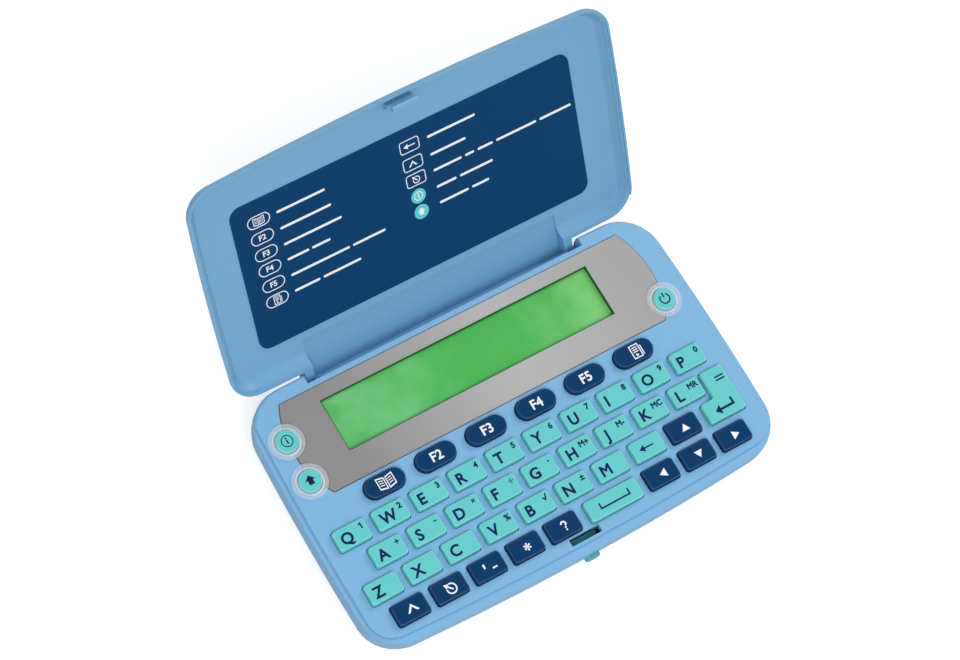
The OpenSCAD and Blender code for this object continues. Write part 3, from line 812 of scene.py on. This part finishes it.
label_marks = word_bars(LEFT_ROWS) + word_bars(RIGHT_ROWS)
for row, (up, _) in enumerate(LEFT_ROWS):
    label_marks.append(cut_out(moved(pill(6.5, 3.6, 1.79), LEFT_SIGNS, up),
                               moved(pill(6, 3.1, 1.54), LEFT_SIGNS, up)))
    if row == 0:
        label_marks.append(book_sign(LEFT_SIGNS, up, 0.66))
    elif row == 5:
        label_marks.append(page_sign(LEFT_SIGNS + 0.1, up, 0.68))
    else:
        label_marks.append(letters(f"F{row + 1}", 1.5, LEFT_SIGNS, up, middle=True, bold=0.05))
for up, _ in RIGHT_ROWS[:3]:
    label_marks.append(cut_out(moved(pill(5.8, 3.8, 0.8), 1.5, up),
                               moved(pill(5.3, 3.3, 0.55), 1.5, up)))
label_marks.append(cut_out(moved(BACK_ARROW, 1.8, RIGHT_ROWS[0][0], 0.8)))
label_marks.append(cut_out(moved(CARET, 1.5, RIGHT_ROWS[1][0] - 0.15, 0.8)))
label_marks.append(escape_sign(1.6, RIGHT_ROWS[2][0] - 0.15, 0.72))
print_on("label_print", label_marks, "white_ink", "lid", "bezel_silver", LABEL_FACE)

label_discs = [cut_out(moved(circle(2.15), 1.25, up)) for up, _ in RIGHT_ROWS[3:]]
print_on("label_discs", label_discs, "teal_ink", "lid", "key_teal", LABEL_FACE)
disc_signs = [info_sign(1.25, RIGHT_ROWS[3][0], 0.8),
              cut_out(moved(HOUSE_ARROW, 1.25, RIGHT_ROWS[4][0], 0.8))]
print_on("label_disc_signs", disc_signs, "white_ink", "lid", "bezel_silver",
         LABEL_FACE @ Matrix.Translation((0, 0, 2 * PRINT_LIFT * MM)))


def display_glass():
    """The green plate that the window shows, with its edges softened, on top of the panel."""
    glass = plate(81.6, 14.7)
    extrude_up(0.75 * MM)
    face_outwards()
    bpy.ops.object.mode_set(mode="OBJECT")
    apply_modifier(glass, "BEVEL", width=0.06 * MM, segments=2)
    shade(glass)
    glass.name = "display_glass"
    glass.data.transform(Matrix.Translation(Vector((*WINDOW_MIDDLE, PANEL_TOP + 0.01)) * MM))
    dress(glass, "lcd")
    place(glass, "base", "lcd_green")


def painted_shade_liner():
    """A thin dark green wall that lines the display window down to the panel: a sheet of painted shade
    and painted green reflection on the window's walls.
    """
    shade_liner = plate(81.96, 15.06)
    bpy.ops.mesh.bevel(offset=0.25 * MM, segments=3, affect="VERTICES")
    bpy.ops.mesh.select_all(action="SELECT")
    bpy.ops.mesh.inset(thickness=0.14 * MM)
    bpy.ops.mesh.delete(type="FACE")
    bpy.ops.mesh.select_all(action="SELECT")
    extrude_up(1.78 * MM)
    face_outwards()
    bpy.ops.object.mode_set(mode="OBJECT")
    shade_liner.name = "painted_shade_liner"
    shade_liner.data.transform(Matrix.Translation(Vector((*WINDOW_MIDDLE, PANEL_TOP + 0.005)) * MM))
    dress(shade_liner, "shade_liner")
    place(shade_liner, "base", "lcd_green")


def round_ring(outer, inner, low, high, rim):
    """A ring about the Z axis: two radii, two heights and its upper outer rounding, in millimetres."""
    bpy.ops.object.select_all(action="DESELECT")
    bpy.ops.mesh.primitive_cylinder_add(vertices=72, radius=outer * MM, depth=(high - low) * MM,
                                        location=(0, 0, 0))
    ring = bpy.context.object
    bpy.ops.object.mode_set(mode="EDIT")
    bpy.ops.transform.translate(value=(0, 0, (low + high) / 2 * MM))
    choose(ring, "FACE", lambda face: abs(face.normal.z) > 0.9)
    bpy.ops.mesh.inset(thickness=(outer - inner) * MM)
    bpy.ops.mesh.bridge_edge_loops()
    choose(ring, "EDGE", lambda edge: all(
        end.co.z > (high - 0.001) * MM and end.co.xy.length > (outer - 0.1) * MM for end in edge.verts))
    bpy.ops.mesh.bevel(offset=rim * MM, segments=4, affect="EDGES")
    face_outwards()
    bpy.ops.object.mode_set(mode="OBJECT")
    shade(ring)
    return ring


def collars():
    """The clear ring round each button, and the milky collar that holds it in the deck."""
    for name, finish, sizes in (("collar_ring", "collar", (4.9, 3.2, 12.01, 12.75, 0.45)),
                                ("collar_seat", "milky", (3.9, 3.3, 10.41, 12, 0.05))):
        master = round_ring(*sizes)
        dress(master, finish)
        for button in ("info", "shift", "power"):
            ring = moved_copy(master, f"{name}_{button}", outline_middle(f"button_{button}", 0))
            place(ring, "base", "collar_clear", "button_collars")
        bpy.data.objects.remove(master)


display_glass()
painted_shade_liner()
collars()


def floor():
    """A pale floor that shows white to the camera and keeps the object's shadow."""
    bpy.ops.object.select_all(action="DESELECT")
    bpy.ops.mesh.primitive_plane_add(size=6, location=(0, 0, -0.0001))
    sheet = bpy.context.object
    sheet.name = "floor"
    finish = Finish("floor_paper", {"Roughness": 0.9, "Specular IOR Level": 0, "Emission Strength": 1})
    seen = finish.node("ShaderNodeLightPath", output="Is Camera Ray")
    finish.set("Base Color", finish.blend(seen, (0.75, 0.75, 0.76, 1), (0.5, 0.5, 0.5, 1)))
    finish.set("Emission Color", finish.blend(seen, (0, 0, 0, 1), (0.64, 0.64, 0.64, 1)))
    sheet.data.materials.append(finish.material)


def lamp(name, direction, distance, size, power):
    """A square soft box of a size and at a distance in metres, shining back along its direction."""
    light = bpy.data.lights.new(name, "AREA")
    light.size = size
    light.energy = power
    holder = bpy.data.objects.new(name, light)
    holder.location = Vector(direction).normalized() * distance
    holder.rotation_euler = (-holder.location).to_track_quat("-Z", "Y").to_euler()
    bpy.context.scene.collection.objects.link(holder)


def daylight(strength):
    """Even white light from all round."""
    world = bpy.data.worlds.new("studio")
    world.use_nodes = True
    bpy.context.scene.world = world
    background = world.node_tree.nodes["Background"]
    background.inputs["Color"].default_value = (1, 1, 1, 1)
    background.inputs["Strength"].default_value = strength


def camera():
    """The photograph's viewing angle."""
    lens = bpy.data.cameras.new("view")
    lens.lens = LENS
    lens.sensor_width = 36
    lens.clip_start = 0.01
    holder = bpy.data.objects.new("view", lens)
    back = Vector((math.cos(ELEVATION) * math.cos(HEADING), math.cos(ELEVATION) * math.sin(HEADING),
                   math.sin(ELEVATION)))
    level = Vector((0, 0, 1)).cross(back).normalized()
    upright = back.cross(level)
    right = level * math.cos(ROLL) + upright * math.sin(ROLL)
    up = back.cross(right)
    holder.matrix_world = Matrix.Translation(AIM + back * DISTANCE) @ Matrix(
        (right, up, back)).transposed().to_4x4()
    bpy.context.scene.collection.objects.link(holder)
    bpy.context.scene.camera = holder


floor()
daylight(0.5)
lamp("side_lamp", (0.9, 0.45, 0.75), 1.6, 0.7, 9)
lamp("front_lamp", (-0.32, -0.5, 0.85), 1.6, 0.8, 12.2)
camera()
bpy.context.scene.view_settings.view_transform = "Standard"
